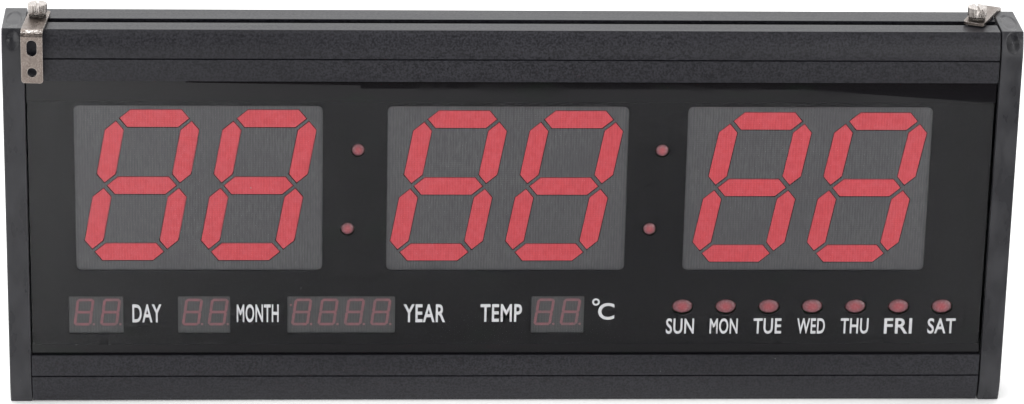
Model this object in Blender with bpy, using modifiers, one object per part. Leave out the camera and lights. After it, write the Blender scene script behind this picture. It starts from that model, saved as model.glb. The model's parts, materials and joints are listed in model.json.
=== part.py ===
"""Large wall and table LED clock-timer with a calendar row and two sliding hangers.

The case is two lengths of one aluminium extrusion, closed by moulded end caps. A clear
lens, a printed mask, the display frames and one circuit board stand between the rails.
Origin: under the axis of the top slot, on the surface it stands on. The front faces -Y.
"""

import math

import bmesh
import bpy
from mathutils import Matrix

MM = 0.001
GAP = 0.3 * MM
# How far a cutter reaches past the surface that it cuts
OVERCUT = 1 * MM

# Case
CASE_WIDTH = 480.8 * MM
CASE_HEIGHT = 190 * MM
CASE_DEPTH = 33.6 * MM
FRONT = -16 * MM
BACK = FRONT + CASE_DEPTH
CAP_WIDTH = 10.4 * MM
CAP_PROUD = 0.4 * MM
SEAM_LEFT = 0.3 * MM
SEAM_RIGHT = 0.7 * MM
CAP_WALL = 3.4 * MM
CAP_ROUNDING = 0.4 * MM
CORNER_CHAMFER = 0.8 * MM
COUNTERBORE = 2.6 * MM
COUNTERBORE_RADIUS = 3.3 * MM
SCREW_HOLE_RADIUS = 1.7 * MM
SCREW_SHANK = 18 * MM

# Rail section: depths run back from the front plane, heights run in from the outer face
WALL = 1.5 * MM
LIP_EDGE = 24.6 * MM
BROW_HEIGHT = 13.3 * MM
BROW_SETBACK = 2.9 * MM
GROOVE_WIDTH = 0.8 * MM
GROOVE_DEPTH = 1.0 * MM
SLOT_MOUTH = 5.7 * MM
SLOT_LIP = 1.6 * MM
CHANNEL_WIDTH = 9.0 * MM
CHANNEL_FLOOR = 5.0 * MM
SCREW_PORT_HEIGHT = 9.3 * MM
SCREW_PORT_HALF = 3.0 * MM
SCREW_PORT_BORE = 3.2 * MM
LENS_GROOVE = 5.8 * MM
LENS_GROOVE_WALL = 1.4 * MM
BOARD_GROOVE = 4.0 * MM
PANEL_GROOVE = 8.2 * MM
CAP_SCREW_INSET = CAP_PROUD + SCREW_PORT_HEIGHT

# Layers between the rails, as depths behind the front plane
LENS_FRONT = 2.1 * MM
LENS_THICKNESS = 2.0 * MM
MASK_THICKNESS = 0.4 * MM
FRAME_THICKNESS = 4.2 * MM
DIFFUSER_BASE = 1.2 * MM
BOARD_THICKNESS = 1.6 * MM
PANEL_THICKNESS = 1.5 * MM
MASK_FRONT = LENS_FRONT + LENS_THICKNESS + GAP
FRAME_FRONT = MASK_FRONT + MASK_THICKNESS + GAP
DIFFUSER_FRONT = FRAME_FRONT + FRAME_THICKNESS + GAP
BOARD_FRONT = DIFFUSER_FRONT + DIFFUSER_BASE + GAP
BOARD_BACK = BOARD_FRONT + BOARD_THICKNESS
PANEL_BACK = CASE_DEPTH - WALL - GAP
PANEL_FRONT = PANEL_BACK - PANEL_THICKNESS

# Time display: three windows of two digits
WINDOW_HEIGHT = 83.7 * MM
WINDOW_RADIUS = 2.5 * MM
WINDOW_Z = 109.4 * MM
WINDOWS = {
    "hours": (-149.1 * MM, 117.3 * MM),
    "minutes": (-2.6 * MM, 114.6 * MM),
    "seconds": (141.3 * MM, 117.1 * MM),
}
FRAME_WIDTH = 122.4 * MM
FRAME_HEIGHT = 88.6 * MM
FRAME_SPACING = 145.5 * MM
FRAME_MIDDLE_X = -3.0 * MM
DIGIT_PITCH = 55.3 * MM
DIGIT_Z = {"hours": 110.7 * MM, "minutes": 110.5 * MM, "seconds": 109.9 * MM}
DIGIT_LEAN = 0.186
SEGMENT_COLUMN = 17.8 * MM
SEGMENT_ROW = 33.9 * MM
SEGMENT_HALF = 4.35 * MM
SEGMENT_TIP_GAP = 1.5 * MM
SEGMENT_RECESS = 0.15 * MM
DIFFUSER_WIDTH = 53.0 * MM
COLON_X = {"hours": -76.1 * MM, "minutes": 68.7 * MM}
COLON_Z = 108.9 * MM
COLON_STEP = 20.05 * MM
COLON_LEAN = 0.12
COLON_DIAMETER = 6.2 * MM

# Calendar row: small displays and weekday lamps
SMALL_Z = 44.4 * MM
SMALL_HEIGHT = 19.2 * MM
SMALL_MARGIN = 0.7 * MM
SMALL_WINDOW_RADIUS = 0.4 * MM
PIN_PITCH = 2.54 * MM
PIN_ROW = 7.62 * MM
PIN_HALF = 0.3 * MM
SMALL_WINDOWS = {
    "day": (-198.7 * MM, 26.0 * MM),
    "month": (-147.1 * MM, 25.0 * MM),
    "year": (-81.2 * MM, 51.8 * MM),
    "temperature": (23.2 * MM, 25.6 * MM),
}
WEEKDAYS = ("sunday", "monday", "tuesday", "wednesday", "thursday", "friday", "saturday")
WEEKDAY_FIRST_X = 83.6 * MM
WEEKDAY_PITCH = 21.07 * MM
WEEKDAY_Z = 48.5 * MM
WEEKDAY_WIDTH = 10.0 * MM
WEEKDAY_HEIGHT = 7.3 * MM

# Hangers: bracket, thumbscrew, washer and slot nut on one vertical axis
PLATE = 1.4 * MM
PLATE_WIDTH = 10.2 * MM
PLATE_CORNER = 1.5 * MM
BEND_RADIUS = 3.0 * MM
ARM_LENGTH = 30.6 * MM
LEG_BOTTOM = 166.0 * MM
HOLE_WIDTH = 4.8 * MM
HOLE_LENGTH = 7.9 * MM
ARM_HOLE_FROM_LEG = 23.6 * MM
LEG_HOLE_Z = 183.2 * MM
LEG_EYE_Z = 171.3 * MM
LEG_EYE_DIAMETER = 4.5 * MM
RAIL_TOP = CASE_HEIGHT - CAP_PROUD
CHANNEL_BOTTOM = RAIL_TOP - CHANNEL_FLOOR + GAP
BRACKET_Z = CASE_HEIGHT + GAP
WASHER_Z = BRACKET_Z + PLATE + GAP
WASHER_THICKNESS = 1.0 * MM
HEAD_Z = WASHER_Z + WASHER_THICKNESS + GAP
HEAD_HEIGHT = 4.8 * MM
HEAD_RADIUS = 4.5 * MM
KNURLS = 26
KNURL_DEPTH = 0.3 * MM
HEAD_ROUNDING = 0.35 * MM
DRIVER_SLOT = 1.3 * MM
SHANK_RADIUS = 1.95 * MM
NUT_LENGTH = 9.0 * MM
# name: axis x, distance from the axis to the leg's outer face, turn about the axis in degrees
HANGERS = {
    "left": (-224.2 * MM, 22.4 * MM, -4.5),
    "right": (219.9 * MM, 24.8 * MM, 154.5),
}

# Rear controls
BUTTONS = ("set", "up", "down", "alarm")
BUTTON_FIRST_X = 150.0 * MM
BUTTON_PITCH = 14.0 * MM
BUTTON_Z = 150.0 * MM
BUTTON_RADIUS = 3.2 * MM
BUTTON_HOLE = 7.4 * MM
BUTTON_BELOW_REAR = 0.2 * MM
STEM_RADIUS = 1.5 * MM
SWITCH_SIDE = 6.0 * MM
SWITCH_HEIGHT = 4.0 * MM
JACK_X = -180.0 * MM
JACK_Z = 60.0 * MM
JACK_SIDE = 10.8 * MM
JACK_BORE = 3.1 * MM
JACK_HOLE = 12.0 * MM
BUZZER_X = -120.0 * MM
BUZZER_Z = 60.0 * MM
SOUND_PITCH = 3.0 * MM
PERFORATION = 1.6 * MM
SENSOR_X = 205.0 * MM
SENSOR_Z = 60.0 * MM
VENT_PITCH = 3.5 * MM
VENT_LENGTH = 14.0 * MM
CELL_X = 60.0 * MM
CELL_Z = 110.0 * MM
CHIP_Z = 110.0 * MM
# name: centre x, body width, pins in a row
CHIPS = {"controller_chip": (-10.0 * MM, 22.0 * MM, 10), "driver_chip": (110.0 * MM, 16.0 * MM, 7)}


# ---------------------------------------------------------------- scene and materials

for old in list(bpy.data.objects):
    bpy.data.objects.remove(old, do_unlink=True)

parts = bpy.data.collections.new("round_timer")
cutters = bpy.data.collections.new("cutters")
for collection in (parts, cutters):
    bpy.context.scene.collection.children.link(collection)


def finish_of(name, colour, roughness, metallic=0.0):
    """A plain Principled material."""
    made = bpy.data.materials.new(name)
    made.use_nodes = True
    shader = made.node_tree.nodes["Principled BSDF"]
    shader.inputs["Base Color"].default_value = (*colour, 1.0)
    shader.inputs["Roughness"].default_value = roughness
    shader.inputs["Metallic"].default_value = metallic
    return made


COATED_ALUMINIUM = finish_of("dark_coated_aluminium", (0.045, 0.045, 0.05), 0.45, 0.3)
CAP_PLASTIC = finish_of("dark_grey_plastic", (0.05, 0.05, 0.055), 0.38)
LENS_ACRYLIC = finish_of("clear_acrylic", (0.03, 0.03, 0.033), 0.08)
MASK_PRINT = finish_of("black_printed_film", (0.01, 0.01, 0.01), 0.5)
FRAME_PLASTIC = finish_of("grey_display_face", (0.09, 0.095, 0.095), 0.6)
SEGMENT_RESIN = finish_of("red_segment_resin", (0.62, 0.09, 0.11), 0.5)
LAMP_RESIN = finish_of("red_lamp_resin", (0.45, 0.08, 0.10), 0.25)
BOARD_LAMINATE = finish_of("green_board", (0.02, 0.12, 0.05), 0.4)
CHIP_EPOXY = finish_of("black_epoxy", (0.02, 0.02, 0.02), 0.5)
BLACK_PLASTIC = finish_of("black_plastic", (0.015, 0.015, 0.015), 0.45)
PANEL_METAL = finish_of("black_rear_panel", (0.025, 0.025, 0.027), 0.5)
NICKEL = finish_of("nickel_plate", (0.55, 0.52, 0.48), 0.28, 1.0)
ZINC_STEEL = finish_of("zinc_steel", (0.45, 0.45, 0.44), 0.35, 1.0)
BLACKENED_STEEL = finish_of("blackened_steel", (0.05, 0.045, 0.04), 0.4, 1.0)
CELL_STEEL = finish_of("stainless_cell", (0.6, 0.6, 0.6), 0.3, 1.0)


# ---------------------------------------------------------------- building blocks

FACING_FRONT = (math.pi / 2, 0, 0)
ALONG_X = (math.pi / 2, 0, math.pi / 2)
FACING_UP = (0, 0, 0)


def publish(obj, name, finish, smooth=False):
    """Names a finished piece, files it with the parts and gives it its material."""
    obj.name = name
    obj.data.name = name
    for holder in list(obj.users_collection):
        holder.objects.unlink(obj)
    parts.objects.link(obj)
    obj.data.materials.clear()
    obj.data.materials.append(finish)
    if smooth:
        obj.data.shade_smooth()
        obj.data.set_sharp_from_angle(angle=math.radians(35))
    return obj


def box(x, y, z):
    """A block between two values on each axis, with its origin at its centre."""
    shape = bmesh.new()
    size = [high - low for low, high in (x, y, z)]
    bmesh.ops.create_cube(shape, size=1.0)
    bmesh.ops.scale(shape, vec=size, verts=shape.verts)
    mesh = bpy.data.meshes.new("box")
    shape.to_mesh(mesh)
    shape.free()
    obj = bpy.data.objects.new("box", mesh)
    obj.location = [(low + high) / 2 for low, high in (x, y, z)]
    parts.objects.link(obj)
    return obj


def block(x, depth, z):
    """A box given by its depths behind the front plane."""
    return box(x, (FRONT + depth[0], FRONT + depth[1]), z)


def cylinder(x, y, z, radius, height, axis="Z", sides=24):
    """A cylinder whose lower end, along its axis, is at the point."""
    shape = bmesh.new()
    bmesh.ops.create_cone(
        shape, cap_ends=True, segments=sides, radius1=radius, radius2=radius, depth=height
    )
    bmesh.ops.translate(shape, vec=(0, 0, height / 2), verts=shape.verts)
    turn = {"Z": Matrix(), "Y": Matrix.Rotation(-math.pi / 2, 4, "X"),
            "X": Matrix.Rotation(math.pi / 2, 4, "Y")}
    bmesh.ops.transform(shape, matrix=turn[axis], verts=shape.verts)
    mesh = bpy.data.meshes.new("cylinder")
    shape.to_mesh(mesh)
    shape.free()
    obj = bpy.data.objects.new("cylinder", mesh)
    obj.location = (x, y, z)
    parts.objects.link(obj)
    return obj


def extrusion(outlines, start, end, rotation, rounding=0.0):
    """A flat outline, with its holes, extruded between two places along its normal."""
    curve = bpy.data.curves.new("outline", "CURVE")
    curve.dimensions = "2D"
    curve.fill_mode = "BOTH"
    curve.extrude = abs(end - start) / 2 - rounding
    curve.bevel_depth = rounding
    curve.bevel_resolution = 0
    curve.offset = -rounding
    for outline in outlines:
        spline = curve.splines.new("POLY")
        spline.points.add(len(outline) - 1)
        for point, (u, v) in zip(spline.points, outline):
            point.co = (u, v, 0, 1)
        spline.use_cyclic_u = True
    obj = bpy.data.objects.new("extrusion", curve)
    obj.rotation_euler = rotation
    middle = (start + end) / 2
    obj.location = {FACING_FRONT: (0, middle, 0), ALONG_X: (middle, 0, 0)}.get(
        rotation, (0, 0, middle)
    )
    parts.objects.link(obj)
    bpy.context.view_layer.update()
    evaluated = obj.evaluated_get(bpy.context.evaluated_depsgraph_get())
    mesh = bpy.data.meshes.new_from_object(evaluated)
    shape = bmesh.new()
    shape.from_mesh(mesh)
    bmesh.ops.remove_doubles(shape, verts=shape.verts, dist=0.00001)
    bmesh.ops.recalc_face_normals(shape, faces=shape.faces)
    shape.to_mesh(mesh)
    shape.free()
    solid = bpy.data.objects.new("extrusion", mesh)
    solid.matrix_world = obj.matrix_world
    bpy.data.objects.remove(obj, do_unlink=True)
    parts.objects.link(solid)
    return solid


def plate(outlines, depth):
    """A sheet facing the front, between two depths behind the front plane."""
    return extrusion(outlines, FRONT + depth[0], FRONT + depth[1], FACING_FRONT)


def turned(profile, steps=24):
    """A profile of (radius, height) points from the top down, turned about +Z."""
    mesh = bpy.data.meshes.new("turned")
    points = [(radius, 0, height) for radius, height in profile]
    closed = profile[0][0] > 0
    edges = [(i, i + 1) for i in range(len(points) - 1)]
    if closed:
        edges.append((len(points) - 1, 0))
    mesh.from_pydata(points, edges, [])
    obj = bpy.data.objects.new("turned", mesh)
    parts.objects.link(obj)
    screw = obj.modifiers.new("turn", "SCREW")
    screw.axis = "Z"
    screw.steps = steps
    screw.render_steps = steps
    screw.use_merge_vertices = True
    screw.merge_threshold = 0.00001
    screw.use_smooth_shade = True
    return obj


def combine(obj, tool, operation):
    """Cuts, joins or keeps what is common, with the tool filed among the cutters."""
    for holder in list(tool.users_collection):
        holder.objects.unlink(tool)
    cutters.objects.link(tool)
    tool.hide_render = True
    tool.display_type = "WIRE"
    change = obj.modifiers.new(operation.lower(), "BOOLEAN")
    change.operation = operation
    change.solver = "EXACT"
    change.object = tool
    return obj


def cut(obj, tool):
    return combine(obj, tool, "DIFFERENCE")


def join(obj, tool):
    return combine(obj, tool, "UNION")


def ellipse(x, z, width, height, points=16):
    """An oval outline about a centre."""
    turns = [2 * math.pi * i / points for i in range(points)]
    return [(x + width / 2 * math.cos(t), z + height / 2 * math.sin(t)) for t in turns]


def rectangle(x, z, width, height, radius=0.0, points=3):
    """A rectangle about a centre, with round corners where a radius is given."""
    if radius == 0.0:
        sides = ((1, 1), (-1, 1), (-1, -1), (1, -1))
        return [(x + i * width / 2, z + j * height / 2) for i, j in sides]
    outline = []
    for corner, (i, j) in enumerate(((1, 1), (-1, 1), (-1, -1), (1, -1))):
        centre_x = x + i * (width / 2 - radius)
        centre_z = z + j * (height / 2 - radius)
        for step in range(points + 1):
            turn = math.pi / 2 * (corner + step / points)
            outline.append((centre_x + radius * math.cos(turn), centre_z + radius * math.sin(turn)))
    return outline


# ---------------------------------------------------------------- case


def brow(setback, height, points=7):
    """The curve that carries the front back to the outer face, from its lower end up."""
    arc = []
    for step in range(points + 1):
        rise = step / points
        arc.append((setback * rise ** 2, height * (1 - rise)))
    return arc


def rail_section():
    """The rail's outline as (depth behind the front, height in from the outer face)."""
    mid = -FRONT
    groove_z = BROW_HEIGHT + GROOVE_WIDTH / 2
    front = [(0, LIP_EDGE), (0, groove_z + GROOVE_WIDTH / 2), (GROOVE_DEPTH, groove_z)]
    front += brow(BROW_SETBACK, BROW_HEIGHT)
    slot = [
        (mid - SLOT_MOUTH / 2, 0), (mid - SLOT_MOUTH / 2, SLOT_LIP),
        (mid - CHANNEL_WIDTH / 2, SLOT_LIP), (mid - CHANNEL_WIDTH / 2, CHANNEL_FLOOR),
    ]
    slot += [(2 * mid - depth, height) for depth, height in reversed(slot)]
    rear_floor = LIP_EDGE - PANEL_GROOVE
    rear_wall = CASE_DEPTH - WALL
    panel_rib = PANEL_FRONT - GAP
    back = [
        (CASE_DEPTH - CORNER_CHAMFER, 0), (CASE_DEPTH, CORNER_CHAMFER),
        (CASE_DEPTH, LIP_EDGE - WALL), (rear_wall, LIP_EDGE - WALL), (rear_wall, rear_floor),
        (panel_rib, rear_floor), (panel_rib, LIP_EDGE - 2 * WALL),
        (panel_rib - WALL, LIP_EDGE - 2 * WALL), (panel_rib - WALL, rear_floor - WALL),
        (rear_wall, rear_floor - WALL), (rear_wall, WALL),
    ]
    channel = CHANNEL_FLOOR + WALL
    channel_side = mid + CHANNEL_WIDTH / 2 + WALL
    port_end = SCREW_PORT_HEIGHT + SCREW_PORT_HALF
    board_rib = BOARD_FRONT - GAP
    inside = [
        (channel_side, WALL), (channel_side, channel),
        (mid + SCREW_PORT_HALF, channel), (mid + SCREW_PORT_HALF, port_end),
        (mid - SCREW_PORT_HALF, port_end), (mid - SCREW_PORT_HALF, channel),
        (board_rib, channel), (board_rib, channel + BOARD_GROOVE),
        (board_rib - WALL, channel + BOARD_GROOVE), (board_rib - WALL, channel - WALL),
        (board_rib - WALL, WALL),
    ]
    lens_floor = LIP_EDGE - LENS_GROOVE
    lens_rib = FRAME_FRONT + WALL
    inside += [(depth + WALL, max(height, WALL))
               for depth, height in reversed(brow(BROW_SETBACK, BROW_HEIGHT, 3))]
    inside += [
        (WALL, lens_floor - 3 * WALL), (lens_rib, lens_floor - 3 * WALL),
        (lens_rib, LIP_EDGE - 2 * WALL), (FRAME_FRONT, LIP_EDGE - 2 * WALL),
        (FRAME_FRONT, lens_floor), (LENS_GROOVE_WALL, lens_floor), (LENS_GROOVE_WALL, LIP_EDGE),
    ]
    return front + slot + back + inside


def rail(name, upward):
    """One length of the extrusion; the lower rail is the upper one turned over."""
    outer_z = RAIL_TOP if upward else CAP_PROUD
    sign = -1 if upward else 1
    section = [(FRONT + depth, outer_z + sign * height) for depth, height in rail_section()]
    port_z = outer_z + sign * SCREW_PORT_HEIGHT
    port = ellipse(0, port_z, SCREW_PORT_BORE, SCREW_PORT_BORE, 12)
    left = -CASE_WIDTH / 2 + CAP_WIDTH + SEAM_LEFT
    right = CASE_WIDTH / 2 - CAP_WIDTH - SEAM_RIGHT
    solid = extrusion([section, port], left, right, ALONG_X)
    return publish(solid, name, COATED_ALUMINIUM)


def cap_section():
    """The end cap's outline, as (world y, world z)."""
    top = [(FRONT + depth, CASE_HEIGHT - height)
           for depth, height in brow(BROW_SETBACK, BROW_HEIGHT, 8)]
    back = [(BACK - CORNER_CHAMFER, CASE_HEIGHT), (BACK, CASE_HEIGHT - CORNER_CHAMFER)]
    upper = top + back
    lower = [(y, CASE_HEIGHT - z) for y, z in reversed(upper)]
    return upper + lower


def end_cap(side):
    """A moulded cap, hollow behind the window band, with two counterbored screw holes."""
    sign = -1 if side == "left" else 1
    inner = sign * (CASE_WIDTH / 2 - CAP_WIDTH)
    outer = sign * CASE_WIDTH / 2
    solid = extrusion([cap_section()], min(inner, outer), max(inner, outer), ALONG_X, CAP_ROUNDING)
    pocket_x = sorted((outer - sign * CAP_WALL, inner - sign * OVERCUT))
    pocket_y = (FRONT + CAP_WALL, BACK - CAP_WALL)
    cut(solid, box(pocket_x, pocket_y, (LIP_EDGE, CASE_HEIGHT - LIP_EDGE)))
    start = min(inner, outer) - OVERCUT
    head = outer - COUNTERBORE if sign > 0 else outer - OVERCUT
    for height in (CAP_SCREW_INSET, CASE_HEIGHT - CAP_SCREW_INSET):
        cut(solid, cylinder(start, 0, height, SCREW_HOLE_RADIUS, CAP_WIDTH + 2 * OVERCUT, "X", 12))
        cut(solid, cylinder(head, 0, height, COUNTERBORE_RADIUS, COUNTERBORE + OVERCUT, "X", 16))
    return publish(solid, f"{side}_end_cap", CAP_PLASTIC, smooth=True)


def cap_screw(side, level):
    """A pan-head screw along X that holds a cap to a rail's screw port."""
    sign = -1 if side == "left" else 1
    height = CASE_HEIGHT - CAP_SCREW_INSET if level == "upper" else CAP_SCREW_INSET
    radius = 1.3 * MM
    head_top = 2.0 * MM
    profile = [
        (0, head_top), (1.9 * MM, head_top), (2.7 * MM, 1.4 * MM), (2.8 * MM, GAP),
        (radius, GAP), (radius, -SCREW_SHANK + radius), (0, -SCREW_SHANK),
    ]
    solid = turned(profile, 12)
    solid.rotation_euler = (0, sign * math.pi / 2, 0)
    solid.location = (sign * (CASE_WIDTH / 2 - COUNTERBORE), 0, height)
    recess = 1.0 * MM
    long_half = 1.3 * MM
    short_half = 0.3 * MM
    face = sign * (CASE_WIDTH / 2 - COUNTERBORE + head_top)
    reach = sorted((face - sign * recess, face + sign * OVERCUT))
    for half_y, half_z in ((long_half, short_half), (short_half, long_half)):
        cut(solid, box(reach, (-half_y, half_y), (height - half_z, height + half_z)))
    return publish(solid, f"{side}_cap_screw_{level}", ZINC_STEEL)


LENS_LEFT = -CASE_WIDTH / 2 + CAP_WIDTH + SEAM_LEFT + GAP
LENS_RIGHT = CASE_WIDTH / 2 - CAP_WIDTH - SEAM_RIGHT - GAP
SHEET_WIDTH = LENS_RIGHT - LENS_LEFT
SHEET_X = (LENS_RIGHT + LENS_LEFT) / 2
SHEET_HEIGHT = CASE_HEIGHT - 2 * (LIP_EDGE + CAP_PROUD - LENS_GROOVE + 2 * GAP)


def colon_places():
    """Centres of the four colon lamps, by name."""
    places = {}
    for gap_name, middle in COLON_X.items():
        for level, rise in (("upper", COLON_STEP), ("lower", -COLON_STEP)):
            places[f"{gap_name}_colon_{level}"] = (middle + COLON_LEAN * rise, COLON_Z + rise)
    return places


def weekday_places():
    """Centres of the seven weekday lamps, by name."""
    return {day: (WEEKDAY_FIRST_X + WEEKDAY_PITCH * i, WEEKDAY_Z) for i, day in enumerate(WEEKDAYS)}


def front_sheets():
    """The clear lens and the printed mask behind it, held in the rails' front grooves."""
    whole = rectangle(SHEET_X, CASE_HEIGHT / 2, SHEET_WIDTH, SHEET_HEIGHT)
    lens = plate([whole], (LENS_FRONT, LENS_FRONT + LENS_THICKNESS))
    publish(lens, "front_lens", LENS_ACRYLIC)
    openings = [whole]
    for x, width in WINDOWS.values():
        openings.append(rectangle(x, WINDOW_Z, width, WINDOW_HEIGHT, WINDOW_RADIUS))
    for x, width in SMALL_WINDOWS.values():
        openings.append(rectangle(x, SMALL_Z, width, SMALL_HEIGHT, SMALL_WINDOW_RADIUS, 2))
    colon_hole = COLON_DIAMETER + 2 * GAP
    for x, z in colon_places().values():
        openings.append(ellipse(x, z, colon_hole, colon_hole))
    for x, z in weekday_places().values():
        openings.append(ellipse(x, z, WEEKDAY_WIDTH + 2 * GAP, WEEKDAY_HEIGHT + 2 * GAP, 20))
    mask = plate(openings, (MASK_FRONT, MASK_FRONT + MASK_THICKNESS))
    publish(mask, "window_mask", MASK_PRINT)


def button_places():
    """Centre of each rear button, by name."""
    return {name: (BUTTON_FIRST_X + BUTTON_PITCH * i, BUTTON_Z) for i, name in enumerate(BUTTONS)}


def rear_panel():
    """The back sheet, pierced for the buttons, the power inlet, the buzzer and the sensor."""
    outlines = [rectangle(SHEET_X, CASE_HEIGHT / 2, SHEET_WIDTH, SHEET_HEIGHT)]
    for x, z in button_places().values():
        outlines.append(ellipse(x, z, BUTTON_HOLE, BUTTON_HOLE, 16))
    outlines.append(ellipse(JACK_X, JACK_Z, JACK_HOLE, JACK_HOLE, 16))
    for i in (-1, 0, 1):
        for j in (-1, 0, 1):
            x = BUZZER_X + i * SOUND_PITCH
            z = BUZZER_Z + j * SOUND_PITCH
            outlines.append(ellipse(x, z, PERFORATION, PERFORATION, 6))
        vent_z = SENSOR_Z + i * VENT_PITCH
        outlines.append(rectangle(SENSOR_X, vent_z, VENT_LENGTH, PERFORATION, 0.7 * MM, 2))
    publish(plate(outlines, (PANEL_FRONT, PANEL_BACK)), "rear_panel", PANEL_METAL)


# ---------------------------------------------------------------- displays


def digit_outlines(centre_x, centre_z, growth=0.0):
    """The seven six-sided segments of one leaning digit, made larger all round by growth."""
    half = SEGMENT_HALF + growth
    across = SEGMENT_COLUMN - SEGMENT_TIP_GAP + growth * math.sqrt(2)
    outlines = []
    for row in (-1, 0, 1):
        z = row * SEGMENT_ROW
        bar = [(-across, 0), (-across + half, -half), (across - half, -half),
               (across, 0), (across - half, half), (-across + half, half)]
        outlines.append([(x, z + dz) for x, dz in bar])
    reach = SEGMENT_ROW / 2 - SEGMENT_TIP_GAP + growth * math.sqrt(2)
    for column in (-1, 1):
        for row in (-0.5, 0.5):
            x = column * SEGMENT_COLUMN
            z = row * SEGMENT_ROW
            post = [(0, -reach), (half, -reach + half), (half, reach - half),
                    (0, reach), (-half, reach - half), (-half, -reach + half)]
            outlines.append([(x + dx, z + dz) for dx, dz in post])
    return [
        [(centre_x + x + DIGIT_LEAN * z, centre_z + z) for x, z in outline] for outline in outlines
    ]


def time_display(name, centre_x, digit_z):
    """A frame with two digits' apertures, and a segment diffuser for each digit."""
    outlines = [rectangle(centre_x, WINDOW_Z, FRAME_WIDTH, FRAME_HEIGHT)]
    tall = FRAME_HEIGHT / 2 - 1 * MM
    for place, side in (("tens", -1), ("units", 1)):
        digit_x = centre_x + side * DIGIT_PITCH / 2
        outlines += digit_outlines(digit_x, digit_z, GAP)
        base = block((digit_x - DIFFUSER_WIDTH / 2, digit_x + DIFFUSER_WIDTH / 2),
                     (DIFFUSER_FRONT, DIFFUSER_FRONT + DIFFUSER_BASE),
                     (WINDOW_Z - tall, WINDOW_Z + tall))
        segments = plate(digit_outlines(digit_x, digit_z),
                         (FRAME_FRONT + SEGMENT_RECESS, DIFFUSER_FRONT + DIFFUSER_BASE / 2))
        join(base, segments)
        publish(base, f"{name}_{place}_segments", SEGMENT_RESIN)
    frame = plate(outlines, (FRAME_FRONT, FRAME_FRONT + FRAME_THICKNESS))
    publish(frame, f"{name}_display_frame", FRAME_PLASTIC)


def small_display(name, centre_x, width):
    """A block of small digits on the board, with two rows of pins underneath."""
    half = width / 2 + SMALL_MARGIN
    tall = SMALL_HEIGHT / 2 + SMALL_MARGIN
    body_back = BOARD_FRONT - 1.2 * MM
    body = block((centre_x - half, centre_x + half), (FRAME_FRONT, body_back),
                 (SMALL_Z - tall, SMALL_Z + tall))
    pins = 5 if width < 40 * MM else 6
    for row in (-1, 1):
        for i in range(pins):
            x = centre_x + (i - (pins - 1) / 2) * PIN_PITCH
            z = SMALL_Z + row * PIN_ROW
            pin = block((x - PIN_HALF, x + PIN_HALF), (body_back - 1 * MM, BOARD_FRONT - GAP),
                        (z - PIN_HALF, z + PIN_HALF))
            join(body, pin)
    publish(body, f"{name}_display", FRAME_PLASTIC)


def lamp(name, x, z, width, height):
    """A domed LED lamp on the board, its dome standing in the mask's hole."""
    radius = height / 2
    tip = BOARD_FRONT - GAP - MASK_FRONT
    dome = 0.3 * radius
    shoulder = tip - dome
    profile = []
    for step in range(5):
        turn = math.pi / 2 * step / 4
        profile.append((radius * math.sin(turn), shoulder + dome * math.cos(turn)))
    flange = 1.2 * MM
    rim = radius + 0.4 * MM
    profile += [(radius, flange), (rim, flange), (rim, 0), (0, 0)]
    solid = turned(profile, 16)
    solid.rotation_euler = FACING_FRONT
    solid.scale = (width / height, 1, 1)
    solid.location = (x, FRONT + BOARD_FRONT - GAP, z)
    publish(solid, f"{name}_lamp", LAMP_RESIN)


# ---------------------------------------------------------------- board and what it carries


def circuit_board():
    """The board that fills the case, with its edges in the rails' board grooves."""
    side_margin = 1 * MM
    height = CASE_HEIGHT - 2 * (CAP_PROUD + CHANNEL_FLOOR + WALL + GAP)
    outline = rectangle(SHEET_X, CASE_HEIGHT / 2, SHEET_WIDTH - 2 * side_margin, height)
    publish(plate([outline], (BOARD_FRONT, BOARD_BACK)), "display_board", BOARD_LAMINATE)


def chip(name, x, z, width, pins):
    """A dual-row chip: a body with a row of legs along each long side."""
    start = BOARD_BACK + GAP
    half_body = 3.6 * MM
    half_span = 4.9 * MM
    pitch = 2.0 * MM
    body = block((x - width / 2, x + width / 2), (start + 0.4 * MM, start + 3.4 * MM),
                 (z - half_body, z + half_body))
    for i in range(pins):
        leg_x = x + (i - (pins - 1) / 2) * pitch
        leg = block((leg_x - PIN_HALF, leg_x + PIN_HALF), (start, start + 1.4 * MM),
                    (z - half_span, z + half_span))
        join(body, leg)
    publish(body, name, CHIP_EPOXY)


def buzzer():
    """The alarm sounder, a round can with a sound hole behind the panel's grille."""
    can = 12.0 * MM
    radius = 6.0 * MM
    hole = 1.2 * MM
    chamfer = 0.6 * MM
    hole_floor = can - 3 * MM
    profile = [(0, hole_floor), (hole, hole_floor), (hole, can), (radius - chamfer, can),
               (radius, can - chamfer), (radius, 0), (0, 0)]
    solid = turned(profile, 20)
    solid.rotation_euler = (-math.pi / 2, 0, 0)
    solid.location = (BUZZER_X, FRONT + BOARD_BACK + GAP, BUZZER_Z)
    publish(solid, "alarm_buzzer", BLACK_PLASTIC)


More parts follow.
